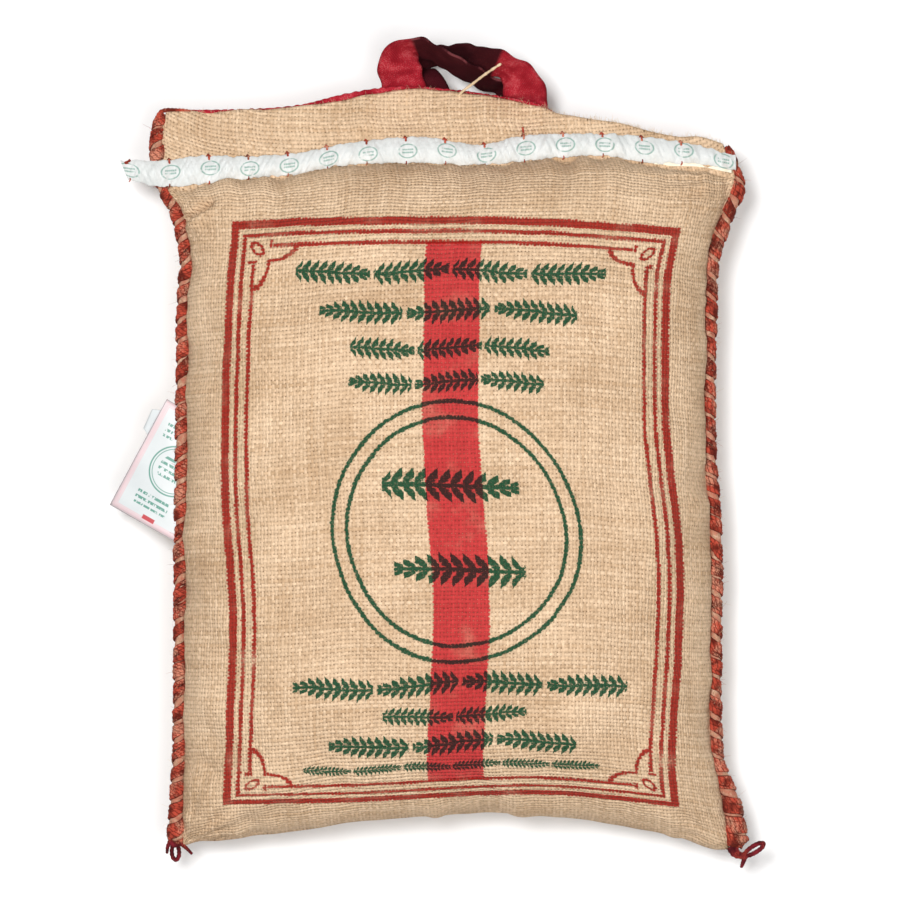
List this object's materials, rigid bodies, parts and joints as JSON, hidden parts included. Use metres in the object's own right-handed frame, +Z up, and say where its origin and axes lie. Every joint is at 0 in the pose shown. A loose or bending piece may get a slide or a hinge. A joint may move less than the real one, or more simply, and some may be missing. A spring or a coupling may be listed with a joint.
{
  "type": "filled jute rice sack",
  "caption": "Filled and sewn-shut jute sack of rice lying on its back, with overcast side seams, a closing tape, webbing handles and a paper label in the seam.",
  "frame": {"origin": "middle of the flat underside, at the level of the ground", "axes": "+Z up through the printed front, +Y from the foot of the sack to its mouth, +X to the right of the printed front"},
  "size_m": [0.3953, 0.4977, 0.1219],
  "materials": {
    "jute": "coarse plain weave with red and green print",
    "red_yarn": "plied yarn",
    "tape": "crinkled paper tape",
    "lining": "matt paper strip",
    "webbing": "dark red cotton webbing",
    "paper": "smooth label paper"
  },
  "bodies": {
    "root": {"jute_sack": "jute", "left_seam_cord": "red_yarn", "right_seam_cord": "red_yarn", "closing_tape": "tape", "tape_lining": "lining", "tape_stitch_01": "red_yarn", "tape_stitch_02": "red_yarn", "tape_stitch_03": "red_yarn", "tape_stitch_04": "red_yarn", "tape_stitch_05": "red_yarn", "tape_stitch_06": "red_yarn", "tape_stitch_07": "red_yarn", "tape_stitch_08": "red_yarn", "tape_stitch_09": "red_yarn", "tape_stitch_10": "red_yarn", "tape_stitch_11": "red_yarn", "tape_stitch_12": "red_yarn", "tape_stitch_13": "red_yarn", "tape_stitch_14": "red_yarn", "tape_stitch_15": "red_yarn", "mouth_band": "webbing", "front_handle": "webbing", "back_handle": "webbing", "label_front": "paper", "label_back": "paper", "left_yarn_loop": "red_yarn", "left_yarn_end": "red_yarn", "left_yarn_tail": "red_yarn", "right_yarn_knot": "red_yarn", "right_yarn_loop": "red_yarn", "right_yarn_tail": "red_yarn"}
  },
  "joints": []
}
